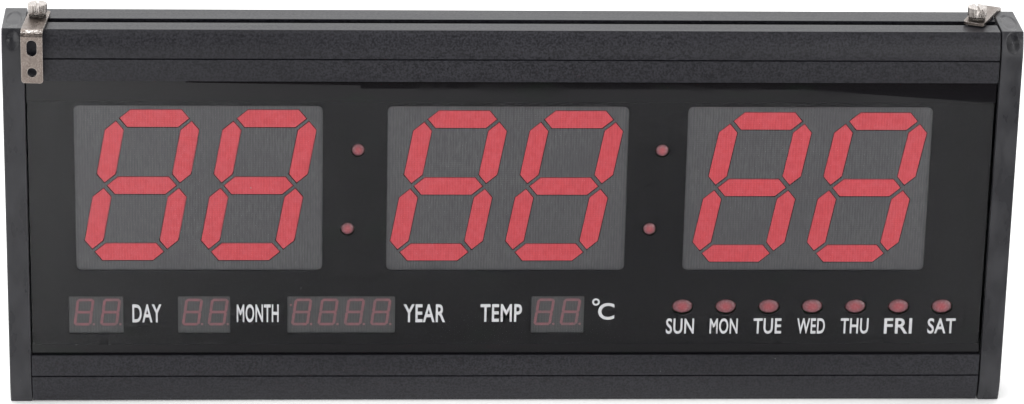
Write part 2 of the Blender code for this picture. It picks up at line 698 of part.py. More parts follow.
def backup_cell():
    """A coin cell in an open ring holder, which keeps the time through a power cut."""
    start = FRONT + BOARD_BACK + GAP
    cell_radius = 10.0 * MM
    cell_height = 3.2 * MM
    cup_radius = cell_radius + 1.8 * MM
    cup_height = 5.2 * MM
    cup_floor = 1.2 * MM
    opening = 6.0 * MM
    cup = [(cell_radius + GAP, cup_height), (cup_radius, cup_height), (cup_radius, 0),
           (opening, 0), (opening, cup_floor), (cell_radius + GAP, cup_floor)]
    holder = turned(cup, 24)
    holder.rotation_euler = (-math.pi / 2, 0, 0)
    holder.location = (CELL_X, start, CELL_Z)
    publish(holder, "backup_cell_holder", BLACK_PLASTIC)
    profile = [(0, cell_height), (cell_radius - 0.4 * MM, cell_height),
               (cell_radius, cell_height - 0.4 * MM), (cell_radius, 0.3 * MM),
               (cell_radius - 0.3 * MM, 0), (0, 0)]
    cell = turned(profile, 24)
    cell.rotation_euler = (-math.pi / 2, 0, 0)
    cell.location = (CELL_X, start + cup_floor + GAP, CELL_Z)
    publish(cell, "backup_cell", CELL_STEEL)


def power_jack():
    """The low-voltage inlet, a square body bored right through."""
    start = BOARD_BACK + GAP
    end = PANEL_FRONT - GAP
    side = JACK_SIDE / 2
    body = block((JACK_X - side, JACK_X + side), (start, end), (JACK_Z - side, JACK_Z + side))
    bore = end - start + 2 * OVERCUT
    cut(body, cylinder(JACK_X, FRONT + start - OVERCUT, JACK_Z, JACK_BORE, bore, "Y", 16))
    publish(body, "dc_power_jack", BLACK_PLASTIC)


def temperature_sensor():
    """A three-legged sensor that stands off the board behind the panel's vents."""
    start = BOARD_BACK + GAP
    half_width = 2.4 * MM
    half_thickness = 1.9 * MM
    standoff = 8.0 * MM
    leg_half = 0.25 * MM
    body = block((SENSOR_X - half_width, SENSOR_X + half_width),
                 (start + standoff, start + standoff + 4.5 * MM),
                 (SENSOR_Z - half_thickness, SENSOR_Z + half_thickness))
    for i in (-1, 0, 1):
        x = SENSOR_X + i * PIN_PITCH / 2
        leg = block((x - leg_half, x + leg_half), (start, start + standoff + 1 * MM),
                    (SENSOR_Z - leg_half, SENSOR_Z + leg_half))
        join(body, leg)
    publish(body, "temperature_sensor", CHIP_EPOXY)


def rear_button(name, x, z):
    """A push switch on the board, and the long button that reaches it through the panel."""
    start = BOARD_BACK + GAP
    half = SWITCH_SIDE / 2
    switch = block((x - half, x + half), (start, start + SWITCH_HEIGHT), (z - half, z + half))
    well_floor = start + SWITCH_HEIGHT - 2.0 * MM
    well = cylinder(x, FRONT + well_floor, z, STEM_RADIUS + 0.4 * MM, 2.0 * MM + OVERCUT, "Y", 12)
    cut(switch, well)
    publish(switch, f"{name}_switch", BLACK_PLASTIC)
    stem_end = well_floor + 1.0 * MM
    top = CASE_DEPTH - BUTTON_BELOW_REAR - stem_end
    collar_top = PANEL_FRONT - GAP - stem_end
    collar = collar_top - 1.5 * MM
    collar_radius = BUTTON_RADIUS + 1 * MM
    chamfer = 0.5 * MM
    profile = [
        (0, top), (BUTTON_RADIUS - chamfer, top), (BUTTON_RADIUS, top - chamfer),
        (BUTTON_RADIUS, collar_top), (collar_radius, collar_top), (collar_radius, collar),
        (STEM_RADIUS, collar), (STEM_RADIUS, 0), (0, 0),
    ]
    button = turned(profile, 16)
    button.rotation_euler = (-math.pi / 2, 0, 0)
    button.location = (x, FRONT + stem_end, z)
    publish(button, f"{name}_button", BLACK_PLASTIC)


# ---------------------------------------------------------------- hangers


def bracket_hole(middle):
    """The outline of a hole with round ends, centred across the plate."""
    radius = HOLE_WIDTH / 2 - 0.01 * MM
    return rectangle(0, middle, HOLE_WIDTH, HOLE_LENGTH, radius, 5)


def bracket(name, axis_x, reach, turn):
    """A bent plate: a drilled leg that hangs down and an arm over the case's slot."""
    leg_face = -reach
    free_end = leg_face + ARM_LENGTH
    top = BRACKET_Z + PLATE
    bend = [math.pi / 2 * step / 5 for step in range(6)]
    outer = [(leg_face + BEND_RADIUS * (1 - math.cos(t)), top - BEND_RADIUS * (1 - math.sin(t)))
             for t in bend]
    inner_radius = BEND_RADIUS - PLATE
    inner = [(leg_face + BEND_RADIUS - inner_radius * math.cos(t),
              top - BEND_RADIUS + inner_radius * math.sin(t)) for t in reversed(bend)]
    side_view = [(leg_face, LEG_BOTTOM)] + outer + [(free_end, top), (free_end, BRACKET_Z)]
    side_view += inner + [(leg_face + PLATE, LEG_BOTTOM)]
    solid = extrusion([side_view], -PLATE_WIDTH, PLATE_WIDTH, ALONG_X)
    spare = 20 * MM
    height = CASE_HEIGHT + spare - LEG_BOTTOM
    front_view = rectangle(0, LEG_BOTTOM + height / 2, PLATE_WIDTH, height, PLATE_CORNER)
    combine(solid, extrusion([front_view], -CASE_HEIGHT, CASE_HEIGHT, FACING_FRONT), "INTERSECT")
    length = ARM_LENGTH + spare
    plan_view = rectangle(0, free_end - length / 2, PLATE_WIDTH, length, PLATE_CORNER)
    combine(solid, extrusion([plan_view], 0, 2 * CASE_HEIGHT, FACING_UP), "INTERSECT")
    arm_hole = bracket_hole(leg_face + ARM_HOLE_FROM_LEG)
    cut(solid, extrusion([arm_hole], BRACKET_Z - OVERCUT, top + OVERCUT, FACING_UP))
    eye = ellipse(0, LEG_EYE_Z, LEG_EYE_DIAMETER, LEG_EYE_DIAMETER, 20)
    leg_holes = [bracket_hole(LEG_HOLE_Z), eye]
    leg_back = leg_face + PLATE
    cut(solid, extrusion(leg_holes, leg_face - OVERCUT, leg_back + OVERCUT, FACING_FRONT))
    publish(solid, f"{name}_hanger_bracket", NICKEL, smooth=True)
    pivot = bpy.data.objects.new(f"{name}_swivel_axis", None)
    parts.objects.link(pivot)
    for piece in [solid] + [change.object for change in solid.modifiers]:
        piece.parent = pivot
    pivot.location = (axis_x, 0, 0)
    pivot.rotation_euler = (0, 0, math.radians(turn))


def thumbscrew(name, axis_x):
    """A knurled head with a driver slot, on a plain-drawn shank that runs into the nut."""
    knurl = []
    for i in range(2 * KNURLS):
        radius = HEAD_RADIUS if i % 2 else HEAD_RADIUS - KNURL_DEPTH
        turn = math.pi * i / KNURLS
        knurl.append((radius * math.cos(turn), radius * math.sin(turn)))
    head_top = HEAD_Z + HEAD_HEIGHT
    head = extrusion([knurl], HEAD_Z, head_top, FACING_UP, HEAD_ROUNDING)
    head.location.x = axis_x
    shank_length = HEAD_Z + 1 * MM - CHANNEL_BOTTOM
    join(head, cylinder(axis_x, 0, CHANNEL_BOTTOM, SHANK_RADIUS, shank_length, "Z", 20))
    slot_half = 0.5 * MM
    slot_reach = HEAD_RADIUS + OVERCUT
    cut(head, box((axis_x - slot_half, axis_x + slot_half), (-slot_reach, slot_reach),
                  (head_top - DRIVER_SLOT, head_top + OVERCUT)))
    publish(head, f"{name}_thumbscrew", NICKEL)


def washer(name, axis_x):
    """The blackened steel washer between the thumbscrew and the bracket."""
    bore = SHANK_RADIUS + 0.35 * MM
    rim = 4.1 * MM
    ring = [(bore, WASHER_THICKNESS), (rim, WASHER_THICKNESS), (rim, 0), (bore, 0)]
    solid = turned(ring, 20)
    solid.location = (axis_x, 0, WASHER_Z)
    publish(solid, f"{name}_washer", BLACKENED_STEEL)


def slot_nut(name, axis_x):
    """The nut that slides in the case's channel and stands up into the slot's mouth."""
    along = (axis_x - NUT_LENGTH / 2, axis_x + NUT_LENGTH / 2)
    plate_top = RAIL_TOP - SLOT_LIP - GAP
    nut_top = RAIL_TOP - GAP
    across = CHANNEL_WIDTH / 2 - GAP
    neck = SLOT_MOUTH / 2 - GAP
    solid = box(along, (-across, across), (CHANNEL_BOTTOM, plate_top))
    join(solid, box(along, (-neck, neck), (CHANNEL_BOTTOM + 1 * MM, nut_top)))
    bore = nut_top - CHANNEL_BOTTOM + 2 * OVERCUT
    cut(solid, cylinder(axis_x, 0, CHANNEL_BOTTOM - OVERCUT, SHANK_RADIUS + GAP, bore, "Z", 20))
    publish(solid, f"{name}_slot_nut", ZINC_STEEL)


# ---------------------------------------------------------------- assembly


def build_case():
    rail("top_rail", True)
    rail("bottom_rail", False)
    for side in ("left", "right"):
        end_cap(side)
        for level in ("upper", "lower"):
            cap_screw(side, level)
    front_sheets()
    rear_panel()


def build_displays():
    for i, (name, digit_z) in enumerate(DIGIT_Z.items()):
        time_display(name, FRAME_MIDDLE_X + (i - 1) * FRAME_SPACING, digit_z)
    for name, (x, width) in SMALL_WINDOWS.items():
        small_display(name, x, width)
    for name, (x, z) in colon_places().items():
        lamp(name, x, z, COLON_DIAMETER, COLON_DIAMETER)
    for name, (x, z) in weekday_places().items():
        lamp(name, x, z, WEEKDAY_WIDTH, WEEKDAY_HEIGHT)


def build_electronics():
    circuit_board()
    for name, (x, width, pins) in CHIPS.items():
        chip(name, x, CHIP_Z, width, pins)
    buzzer()
    backup_cell()
    power_jack()
    temperature_sensor()
    for name, (x, z) in button_places().items():
        rear_button(name, x, z)


def build_hangers():
    for name, (axis_x, reach, turn) in HANGERS.items():
        slot_nut(name, axis_x)
        bracket(name, axis_x, reach, turn)
        washer(name, axis_x)
        thumbscrew(name, axis_x)


build_case()
build_displays()
build_electronics()
build_hangers()
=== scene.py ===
"""Looks of the LED clock-timer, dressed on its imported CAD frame.

Metres, +Z up, the front faces -Y. The CAD nodes give every shape that fastens, shows or moves.
This script gives each node a procedural material with its grain, wear and dust, and adds the
printed captions, the small displays' unlit digits and the inlet's pin. The part stands on a pale
floor in soft light, with cards before it that only its reflections show.
"""

import json
import math

import bmesh
import bpy
from mathutils import Matrix, Vector


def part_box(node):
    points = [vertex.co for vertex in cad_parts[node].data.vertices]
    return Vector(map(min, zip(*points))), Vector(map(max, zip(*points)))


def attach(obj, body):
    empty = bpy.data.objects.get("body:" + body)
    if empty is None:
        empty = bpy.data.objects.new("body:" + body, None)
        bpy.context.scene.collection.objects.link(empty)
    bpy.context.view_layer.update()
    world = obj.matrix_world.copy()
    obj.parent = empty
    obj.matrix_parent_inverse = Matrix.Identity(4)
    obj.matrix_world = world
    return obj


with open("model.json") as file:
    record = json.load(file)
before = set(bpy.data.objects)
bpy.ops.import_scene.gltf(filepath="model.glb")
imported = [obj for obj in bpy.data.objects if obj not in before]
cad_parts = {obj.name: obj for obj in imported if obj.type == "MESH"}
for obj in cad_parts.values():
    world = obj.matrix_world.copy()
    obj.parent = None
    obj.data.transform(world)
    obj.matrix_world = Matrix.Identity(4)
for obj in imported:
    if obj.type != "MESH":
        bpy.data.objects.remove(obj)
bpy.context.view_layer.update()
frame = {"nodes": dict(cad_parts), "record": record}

MM = 0.001
NODES = frame["nodes"]


def middle(node):
    """Centre of a node's box."""
    low, high = (Vector(corner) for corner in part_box(node))
    return (low + high) / 2


# ---------------------------------------------------------------- materials

# Scale at which a Wave texture has one line to a unit of its coordinates
WAVE_SCALE = math.pi / 10
# Agreement of the real and the rounded normal, from where an edge starts to where it is full
EDGE_AGREEMENT = (0.995, 0.9)


class Look:
    """A Principled material, with short calls for the nodes that colour and roughen it."""

    def __init__(self, name, colour, roughness, metallic=0.0, ior=1.5):
        self.material = bpy.data.materials.new(name)
        self.material.use_nodes = True
        self.nodes = self.material.node_tree.nodes
        self.links = self.material.node_tree.links
        self.shader = self.nodes["Principled BSDF"]
        self.normal = None
        self.put("Base Color", (*colour, 1.0))
        self.put("Roughness", roughness)
        self.put("Metallic", metallic)
        self.put("IOR", ior)
        self.coordinates = self.nodes.new("ShaderNodeTexCoord")

    def feed(self, socket, value):
        """Links an output to a socket, or sets the socket to a plain value."""
        if isinstance(value, bpy.types.NodeSocket):
            self.links.new(value, socket)
        else:
            socket.default_value = value

    def put(self, name, value):
        """Sets an input of the shader."""
        self.feed(self.shader.inputs[name], value)

    def split(self, vector):
        """Outputs X, Y and Z of a vector."""
        node = self.nodes.new("ShaderNodeSeparateXYZ")
        self.feed(node.inputs["Vector"], vector)
        return node.outputs

    def place(self, size, stretch=(1, 1, 1), seed=0.0):
        """Object coordinates counted in features of this size, stretched along the axes."""
        mapping = self.nodes.new("ShaderNodeMapping")
        self.feed(mapping.inputs["Vector"], self.coordinates.outputs["Object"])
        mapping.inputs["Location"].default_value = (seed, 1.7 * seed, 2.3 * seed)
        mapping.inputs["Scale"].default_value = [1 / (size * s) for s in stretch]
        return mapping.outputs["Vector"]

    def noise(self, size, stretch=(1, 1, 1), seed=0.0, detail=2.0, twist=0.0):
        """Soft noise from 0 to 1."""
        texture = self.nodes.new("ShaderNodeTexNoise")
        self.feed(texture.inputs["Vector"], self.place(size, stretch, seed))
        texture.inputs["Scale"].default_value = 1.0
        texture.inputs["Detail"].default_value = detail
        texture.inputs["Distortion"].default_value = twist
        return texture.outputs["Fac"]

    def spots(self, size, share, radius=0.3, stretch=(1, 1, 1), seed=0.0):
        """Separate spots, 1 inside and 0 outside, in this share of the cells of this size."""
        cells = self.nodes.new("ShaderNodeTexVoronoi")
        self.feed(cells.inputs["Vector"], self.place(size, stretch, seed))
        cells.inputs["Scale"].default_value = 1.0
        lot = self.nodes.new("ShaderNodeSeparateColor")
        self.feed(lot.inputs[0], cells.outputs["Color"])
        chosen = self.maths("LESS_THAN", lot.outputs[0], share)
        inside = self.remap(cells.outputs["Distance"], radius, 0.5 * radius)
        return self.maths("MULTIPLY", chosen, inside)

    def stripes(self, pitch, axis):
        """Lines across an axis at an even pitch, from 0 to 1."""
        wave = self.nodes.new("ShaderNodeTexWave")
        wave.bands_direction = axis
        self.feed(wave.inputs["Vector"], self.place(pitch))
        wave.inputs["Scale"].default_value = WAVE_SCALE
        return wave.outputs["Fac"]

    def reach(self, centre, radii):
        """Distance from a centre, counted in radii: 1 on the ellipsoid they give."""
        shift = self.nodes.new("ShaderNodeVectorMath")
        shift.operation = "SUBTRACT"
        self.feed(shift.inputs[0], self.coordinates.outputs["Object"])
        shift.inputs[1].default_value = centre
        shrink = self.nodes.new("ShaderNodeVectorMath")
        shrink.operation = "DIVIDE"
        self.feed(shrink.inputs[0], shift.outputs["Vector"])
        shrink.inputs[1].default_value = radii
        length = self.nodes.new("ShaderNodeVectorMath")
        length.operation = "LENGTH"
        self.feed(length.inputs[0], shrink.outputs["Vector"])
        return length.outputs["Value"]

    def band(self, axis, start, end):
        """Object coordinate along an axis, taken to 0 at start and 1 at end."""
        return self.remap(self.split(self.coordinates.outputs["Object"])[axis], start, end)

    def edges(self, radius):
        """1 on edges sharper than this radius, 0 on the flats."""
        rounded = self.nodes.new("ShaderNodeBevel")
        rounded.samples = 4
        rounded.inputs["Radius"].default_value = radius
        geometry = self.nodes.new("ShaderNodeNewGeometry")
        dot = self.nodes.new("ShaderNodeVectorMath")
        dot.operation = "DOT_PRODUCT"
        self.feed(dot.inputs[0], rounded.outputs["Normal"])
        self.feed(dot.inputs[1], geometry.outputs["Normal"])
        return self.remap(dot.outputs["Value"], *EDGE_AGREEMENT)

    def inside_box(self):
        """How far a point is from the middle of its piece, across X and Z: 1 at the rim."""
        mapping = self.nodes.new("ShaderNodeMapping")
        self.feed(mapping.inputs["Vector"], self.coordinates.outputs["Generated"])
        mapping.inputs["Location"].default_value = (-1, 0, -1)
        mapping.inputs["Scale"].default_value = (2, 0, 2)
        length = self.nodes.new("ShaderNodeVectorMath")
        length.operation = "LENGTH"
        self.feed(length.inputs[0], mapping.outputs["Vector"])
        return length.outputs["Value"]

    def remap(self, value, low, high, to_low=0.0, to_high=1.0):
        """Value from low to high taken to another range, held at its ends."""
        node = self.nodes.new("ShaderNodeMapRange")
        node.interpolation_type = "SMOOTHSTEP"
        numbers = (low, high, to_low, to_high)
        for name, number in zip(("From Min", "From Max", "To Min", "To Max"), numbers):
            node.inputs[name].default_value = number
        self.feed(node.inputs["Value"], value)
        return node.outputs["Result"]

    def maths(self, operation, a, b=0.0):
        """Result of a Math node on one or two values."""
        node = self.nodes.new("ShaderNodeMath")
        node.operation = operation
        self.feed(node.inputs[0], a)
        self.feed(node.inputs[1], b)
        return node.outputs["Value"]

    def mix(self, factor, a, b):
        """A colour between a and b, each a colour or an output."""
        node = self.nodes.new("ShaderNodeMix")
        node.data_type = "RGBA"
        self.feed(node.inputs[0], factor)
        for socket, value in ((node.inputs[6], a), (node.inputs[7], b)):
            linked = isinstance(value, bpy.types.NodeSocket)
            self.feed(socket, value if linked else (*value, 1.0))
        return node.outputs[2]

    def bump(self, height, depth):
        """Adds relief of this depth in metres over what is already there."""
        node = self.nodes.new("ShaderNodeBump")
        node.inputs["Distance"].default_value = depth
        self.feed(node.inputs["Height"], height)
        if self.normal is not None:
            self.feed(node.inputs["Normal"], self.normal)
        self.normal = node.outputs["Normal"]
        self.put("Normal", self.normal)


def coated_aluminium():
    """Dark satin coating on an extrusion: mottled grain, faint lines along X, a little dust."""
    look = Look("coated_aluminium", (0.012, 0.012, 0.014), 0.45, ior=1.42)
    grain = look.noise(0.9 * MM, seed=3, detail=4)
    drift = look.noise(70 * MM, stretch=(2.5, 1, 1), seed=8)
    lines = look.noise(0.7 * MM, stretch=(160, 1, 1), seed=5)
    dust = look.spots(8 * MM, 0.22, radius=0.04, seed=2)
    speckle = look.remap(grain, 0.3, 0.7)
    base = look.mix(speckle, (0.0025, 0.0025, 0.0045), (0.022, 0.0215, 0.028))
    base = look.mix(look.remap(drift, 0.3, 0.75, 0.0, 0.4), base, (0.0045, 0.0045, 0.007))
    look.put("Base Color", look.mix(look.maths("MULTIPLY", dust, 0.5), base, (0.30, 0.30, 0.31)))
    rough = look.remap(grain, 0.25, 0.75, 0.30, 0.48)
    look.put("Roughness", look.maths("ADD", rough, look.remap(lines, 0.3, 0.7, -0.03, 0.03)))
    look.bump(grain, 0.03 * MM)
    look.bump(lines, 0.005 * MM)
    return look.material


# Half sizes of the shallow moulded dishes at the top of each end cap
TOP_DISH = (3.9 * MM, 11.5 * MM, 6 * MM)
FRONT_DISH = (3.4 * MM, 5 * MM, 5.8 * MM)
TOP_DISH_DEPTH = 0.9 * MM
# Height of the front dish's middle over the upper cap screw
FRONT_DISH_RISE = 4.8 * MM
# Depth of the front dish on each cap, and how much of its roughness is left in it
FRONT_DISHES = {"left": (0.8 * MM, 0.8), "right": (4.5 * MM, 0.5)}


def cap_plastic():
    """Dark moulded plastic with fine grain, smudges and scuffs, and dishes at its top end."""
    look = Look("cap_plastic", (0.02, 0.02, 0.023), 0.36, ior=1.46)
    grain = look.noise(0.4 * MM, seed=11, detail=3)
    cloud = look.noise(14 * MM, stretch=(0.6, 1, 1.4), seed=6, detail=3)
    base = look.mix(look.remap(cloud, 0.35, 0.7), (0.012, 0.012, 0.015), (0.024, 0.024, 0.028))
    scuff = look.spots(3.5 * MM, 0.12, radius=0.12, stretch=(0.3, 1, 1.8), seed=9)
    base = look.mix(look.maths("MULTIPLY", scuff, 0.3), base, (0.14, 0.14, 0.15))
    worn = look.maths("MULTIPLY", look.edges(0.5 * MM), 0.35)
    look.put("Base Color", look.mix(worn, base, (0.09, 0.09, 0.10)))
    rough = look.remap(cloud, 0.3, 0.7, 0.24, 0.42)
    look.bump(grain, 0.008 * MM)
    for side, (depth, dulling) in FRONT_DISHES.items():
        low, high = (Vector(corner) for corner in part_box(f"{side}_end_cap"))
        x = (low.x + high.x) / 2
        front_z = middle(f"{side}_cap_screw_upper").z + FRONT_DISH_RISE
        top_dish = look.reach((x, 0, high.z), TOP_DISH)
        look.bump(look.remap(top_dish, 0.7, 1.05), TOP_DISH_DEPTH)
        front_dish = look.reach((x, low.y, front_z), FRONT_DISH)
        look.bump(look.remap(front_dish, 0.1, 1.05), depth)
        polish = look.remap(front_dish, 0.5, 1.1, dulling, 1.0)
        rough = look.maths("MULTIPLY", rough, polish)
    look.put("Roughness", rough)
    return look.material


# Print and displays that lie against the lens have its gloss
GLOSS_IOR = 1.45
BLACK = (0.0062, 0.0060, 0.0072)
GREENISH = (0.0050, 0.0085, 0.0062)
# The lens is printed solid above the first height and below the second
LENS_TOP_PRINT = 154.3 * MM
LENS_BOTTOM_PRINT = 30.0 * MM
PRINT_EDGE = 0.05 * MM
# How much of the clear lens still hides what is behind it
LENS_HAZE = 0.02
# Roughness where clean and where smeared, of the black, the display faces and the resin
CLEAN_GLOSS = (0.01, 0.06)
FACE_GLOSS = (0.05, 0.14)
RESIN_GLOSS = (0.1, 0.25)


def gloss(look, clean, smeared):
    """Roughness of the glossy front, dulled by faint wiping smears."""
    smear = look.noise(26 * MM, stretch=(2.2, 1, 0.8), seed=4, detail=4, twist=1.2)
    look.put("Roughness", look.remap(smear, 0.45, 0.75, clean, smeared))


def patchy_black(look):
    """Colour of black print under gloss, with darker and greenish patches."""
    cloud = look.noise(22 * MM, stretch=(1.6, 1, 0.7), seed=2, detail=3, twist=0.6)
    base = look.mix(look.remap(cloud, 0.3, 0.7), (0.0052, 0.0050, 0.0062), BLACK)
    tint = look.noise(15 * MM, stretch=(1.8, 1, 0.8), seed=31, detail=2)
    return look.mix(look.remap(tint, 0.58, 0.72, 0.0, 0.4), base, GREENISH)


def lens_marks(look):
    """Cover of the pale dust and lint, and of all marks with the small dark nicks."""
    dust = look.spots(10 * MM, 0.30, radius=0.03, seed=7)
    lint = look.spots(24 * MM, 0.22, radius=0.03, stretch=(0.35, 1, 1.1), seed=15)
    nick = look.spots(30 * MM, 0.18, radius=0.05, stretch=(1.6, 1, 0.2), seed=21)
    dusty = look.maths("MULTIPLY", dust, 0.4)
    pale = look.maths("MAXIMUM", dusty, look.maths("MULTIPLY", lint, 0.5))
    cover = look.maths("MAXIMUM", pale, look.maths("MULTIPLY", nick, 0.5))
    return pale, cover


def lens_acrylic():
    """Clear sheet with black edges, whose marks show over the gloss behind it.

    The print and the marks are on the outer face alone, and nothing is seen from inside it.
    """
    look = Look("lens_acrylic", BLACK, 0.05, ior=GLOSS_IOR)
    pale, cover = lens_marks(look)
    look.put("Base Color", look.mix(pale, patchy_black(look), (0.75, 0.77, 0.75)))
    above = look.band("Z", LENS_TOP_PRINT, LENS_TOP_PRINT + PRINT_EDGE)
    below = look.band("Z", LENS_BOTTOM_PRINT, LENS_BOTTOM_PRINT - PRINT_EDGE)
    printed = look.maths("GREATER_THAN", look.maths("MAXIMUM", above, below), 0.5)
    solid = look.maths("MAXIMUM", printed, look.maths("ADD", cover, LENS_HAZE))
    geometry = look.nodes.new("ShaderNodeNewGeometry")
    outer = look.maths("LESS_THAN", look.split(geometry.outputs["Normal"])["Y"], -0.5)
    outside = look.maths("SUBTRACT", 1.0, geometry.outputs["Backfacing"])
    look.put("Alpha", look.maths("MULTIPLY", solid, look.maths("MULTIPLY", outer, outside)))
    gloss(look, *CLEAN_GLOSS)
    return look.material


def mask_film():
    """Glossy black print behind the lens."""
    look = Look("mask_film", BLACK, 0.06, ior=GLOSS_IOR)
    look.put("Base Color", patchy_black(look))
    gloss(look, *CLEAN_GLOSS)
    return look.material


def woven(look, dark, light):
    """Base colour of a fine mesh of upright and level threads."""
    upright = look.maths("MULTIPLY", look.stripes(1.3 * MM, "X"), 0.6)
    level = look.maths("MULTIPLY", look.stripes(1.0 * MM, "Z"), 0.4)
    thread = look.maths("MULTIPLY", look.maths("ADD", upright, level), 0.3)
    grain = look.noise(1.3 * MM, stretch=(0.5, 1, 3.5), seed=3, detail=3)
    mesh = look.maths("ADD", thread, look.maths("MULTIPLY", grain, 0.7))
    return look.mix(look.remap(mesh, 0.28, 0.72), dark, light)


def display_face():
    """Grey printed face of the large displays, with a fine mesh."""
    look = Look("display_face", (0.083, 0.084, 0.085), 0.1, ior=GLOSS_IOR)
    base = woven(look, (0.052, 0.053, 0.056), (0.080, 0.079, 0.082))
    cloud = look.noise(30 * MM, seed=12, detail=3)
    faded = look.remap(cloud, 0.35, 0.75, 0.0, 0.5)
    look.put("Base Color", look.mix(faded, base, (0.056, 0.054, 0.059)))
    gloss(look, *FACE_GLOSS)
    return look.material


def small_display_face():
    """Slightly darker grey face of the small displays."""
    look = Look("small_display_face", (0.07, 0.072, 0.074), 0.1, ior=GLOSS_IOR)
    look.put("Base Color", woven(look, (0.045, 0.047, 0.048), (0.068, 0.068, 0.070)))
    gloss(look, *FACE_GLOSS)
    return look.material


def segment_resin():
    """Unlit red diffusing resin, mottled, with a faint mesh, and a painted highlight that makes its
    edges paler.
    """
    look = Look("segment_resin", (0.6, 0.08, 0.10), 0.2, ior=GLOSS_IOR)
    base = woven(look, (0.36, 0.042, 0.053), (0.46, 0.057, 0.068))
    mottle = look.noise(2.4 * MM, seed=17, detail=4)
    base = look.mix(look.remap(mottle, 0.35, 0.7, 0.0, 0.4), base, (0.46, 0.074, 0.094))
    # Painted highlight: a paler pink rim where the edges catch the light
    rim = look.maths("MULTIPLY", look.edges(0.6 * MM), 0.6)
    look.put("Base Color", look.mix(rim, base, (0.26, 0.085, 0.105)))
    gloss(look, *RESIN_GLOSS)
    return look.material


def lamp_resin():
    """Unlit red lamp, greyer and darker away from its middle by painted shade and reflection, with
    a painted shaded rim and a red flange.
    """
    look = Look("lamp_resin", (0.5, 0.08, 0.1), 0.3)
    across = look.inside_box()
    # Painted shade and greyish reflection of the dome's rounded sides, growing away from the middle
    base = look.mix(look.remap(across, 0.2, 0.8), (0.27, 0.056, 0.066), (0.145, 0.068, 0.076))
    # Painted shade: a dark band where the lamp meets the edge of the mask's hole
    base = look.mix(look.remap(across, 0.79, 0.87), base, (0.13, 0.038, 0.040))
    base = look.mix(look.remap(across, 0.905, 0.93), base, (0.60, 0.06, 0.06))
    grain = look.noise(1.1 * MM, seed=5, detail=3)
    haze = look.remap(grain, 0.4, 0.7, 0.0, 0.4)
    look.put("Base Color", look.mix(haze, base, (0.19, 0.075, 0.085)))
    look.put("Roughness", look.remap(grain, 0.3, 0.7, 0.16, 0.32))
    look.bump(grain, 0.06 * MM)
    return look.material


def nickel(name, dark, light, rough):
    """Look of plated steel: a speckled skin with small pits, and bright worn edges."""
    look = Look(name, light, rough[0], metallic=1.0)
    speck = look.noise(0.5 * MM, seed=14, detail=4)
    patch = look.noise(3 * MM, seed=19, detail=3)
    base = look.mix(look.remap(speck, 0.3, 0.72), dark, light)
    base = look.mix(look.remap(patch, 0.4, 0.75, 0.0, 0.4), base, dark)
    worn = look.maths("MULTIPLY", look.edges(0.45 * MM), 0.7)
    look.put("Base Color", look.mix(worn, base, (0.62, 0.58, 0.54)))
    look.put("Roughness", look.remap(patch, 0.3, 0.7, *rough))
    look.bump(speck, 0.02 * MM)
    look.bump(patch, 0.10 * MM)
    return look


def nickel_plate():
    """Satin plating of the brackets, crinkled where they are bent, with a painted highlight on the
    bend's upper part and painted shade on its lower part.

    The bend is found from how far the surface faces up: 0 on the leg and 1 on the foot.
    """
    look = nickel("nickel_plate", (0.165, 0.135, 0.118), (0.275, 0.235, 0.212), (0.24, 0.42))
    crease = look.noise(1.7 * MM, stretch=(1.3, 1, 0.7), seed=37, detail=3, twist=1.5)
    geometry = look.nodes.new("ShaderNodeNewGeometry")
    upward = look.split(geometry.outputs["Normal"])["Z"]

    def between(start, full, ebb, end):
        return look.maths("MULTIPLY", look.remap(upward, start, full), look.remap(upward, end, ebb))

    look.bump(look.maths("MULTIPLY", crease, between(0.08, 0.3, 0.9, 0.985)), 1.3 * MM)
    # Painted highlight and painted shade on the bend, placed by how far the surface faces up
    upper = between(0.45, 0.6, 0.93, 0.985)
    lower = between(0.04, 0.12, 0.45, 0.6)
    painted_highlight = look.maths("MULTIPLY", upper, look.remap(crease, 0.42, 0.6))
    shade = look.maths("MULTIPLY", lower, look.remap(crease, 0.62, 0.42, 0.25, 0.9))
    skin = look.shader.inputs["Base Color"].links[0].from_socket
    skin = look.mix(shade, skin, (0.045, 0.038, 0.035))
    look.put("Base Color", look.mix(painted_highlight, skin, (0.74, 0.70, 0.67)))
    return look.material


def bright_nickel():
    """Polished plating of the thumbscrews."""
    look = nickel("bright_nickel", (0.36, 0.32, 0.30), (0.72, 0.68, 0.65), (0.22, 0.34))
    return look.material


def black_steel_painted_shade():
    """Blackened steel of the washers, dark also to paint the shade under the thumbscrew heads."""
    look = nickel("black_steel_painted_shade", (0.02, 0.016, 0.014), (0.06, 0.05, 0.045), (0.3, 0.45))
    return look.material


def plated_steel():
    """Zinc plated or stainless steel, finely brushed."""
    look = Look("plated_steel", (0.6, 0.6, 0.58), 0.35, metallic=1.0)
    brush = look.noise(0.2 * MM, stretch=(1, 1, 30), seed=4, detail=3)
    stain = look.noise(3 * MM, seed=10, detail=3)
    stained = look.remap(stain, 0.4, 0.7)
    look.put("Base Color", look.mix(stained, (0.62, 0.62, 0.60), (0.5, 0.49, 0.45)))
    look.put("Roughness", look.remap(brush, 0.3, 0.7, 0.25, 0.45))
    look.bump(brush, 0.006 * MM)
    return look.material


def rear_panel_sheet():
    """Black laminate with a pebbled texture and light rubbing."""
    look = Look("rear_panel", (0.02, 0.02, 0.021), 0.5)
    pebble = look.noise(1.1 * MM, seed=23, detail=2)
    rub = look.noise(40 * MM, stretch=(1.6, 1, 0.7), seed=13, detail=4, twist=0.8)
    rubbed = look.remap(rub, 0.4, 0.75)
    look.put("Base Color", look.mix(rubbed, (0.018, 0.018, 0.019), (0.032, 0.032, 0.034)))
    look.put("Roughness", look.remap(rub, 0.3, 0.7, 0.42, 0.58))
    look.bump(pebble, 0.06 * MM)
    return look.material


